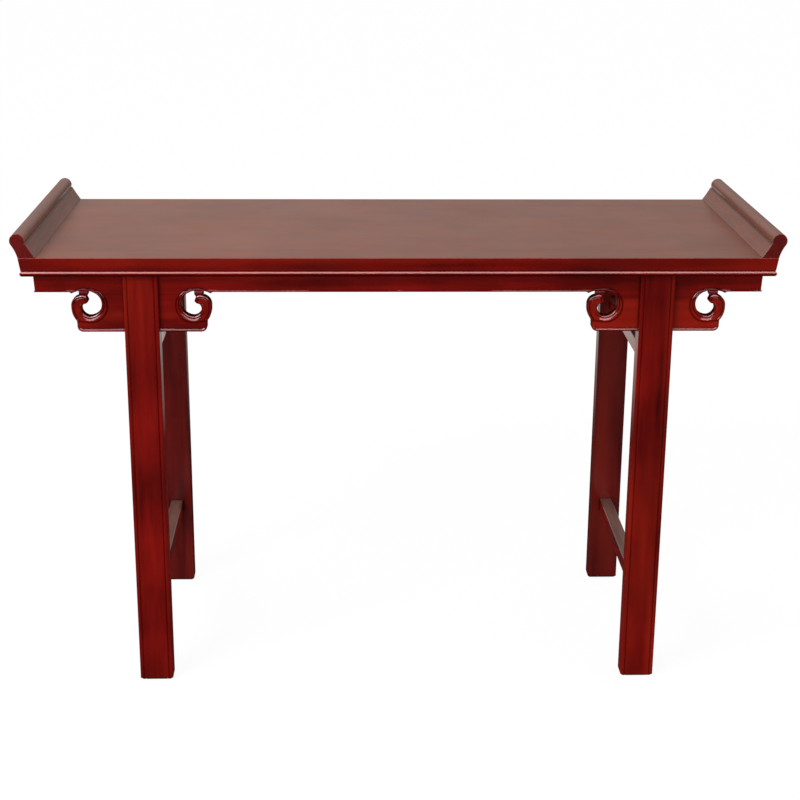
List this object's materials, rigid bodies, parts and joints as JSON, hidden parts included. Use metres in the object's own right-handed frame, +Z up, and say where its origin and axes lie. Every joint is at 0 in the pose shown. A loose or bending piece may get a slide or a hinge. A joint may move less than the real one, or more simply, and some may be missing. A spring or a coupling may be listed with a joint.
{
  "type": "altar table",
  "caption": "Long red lacquered altar table with everted ends, forked recessed legs, pierced scroll spandrels and side stretchers.",
  "frame": {"origin": "on the floor, under the centre of the top", "axes": "+X to the right along the top, -Y out of the front, +Z up"},
  "size_m": [1.3246, 0.51, 0.847],
  "materials": {
    "red_lacquer": "deep red-brown lacquer, glossy, over fine straight grain",
    "top_lacquer": "red-brown lacquer, glossy, lengthwise streaks of the grain showing through",
    "inner_wood": "thin stain, matt, on the pieces under the top"
  },
  "bodies": {
    "root": {"top_front_rail": "red_lacquer", "top_back_rail": "red_lacquer", "top_left_rail": "red_lacquer", "top_right_rail": "red_lacquer", "left_flange": "red_lacquer", "right_flange": "red_lacquer", "front_left_leg": "red_lacquer", "front_right_leg": "red_lacquer", "back_left_leg": "red_lacquer", "back_right_leg": "red_lacquer", "front_apron": "red_lacquer", "back_apron": "red_lacquer", "left_end_apron": "red_lacquer", "right_end_apron": "red_lacquer", "front_left_spandrel": "red_lacquer", "front_right_spandrel": "red_lacquer", "back_left_spandrel": "red_lacquer", "back_right_spandrel": "red_lacquer", "left_upper_stretcher": "red_lacquer", "left_lower_stretcher": "red_lacquer", "right_upper_stretcher": "red_lacquer", "right_lower_stretcher": "red_lacquer", "panel_board_front": "top_lacquer", "panel_board_middle": "top_lacquer", "panel_board_back": "top_lacquer", "batten_left": "inner_wood", "batten_middle": "inner_wood", "batten_right": "inner_wood", "apron_corner_splines": "inner_wood"}
  },
  "joints": []
}
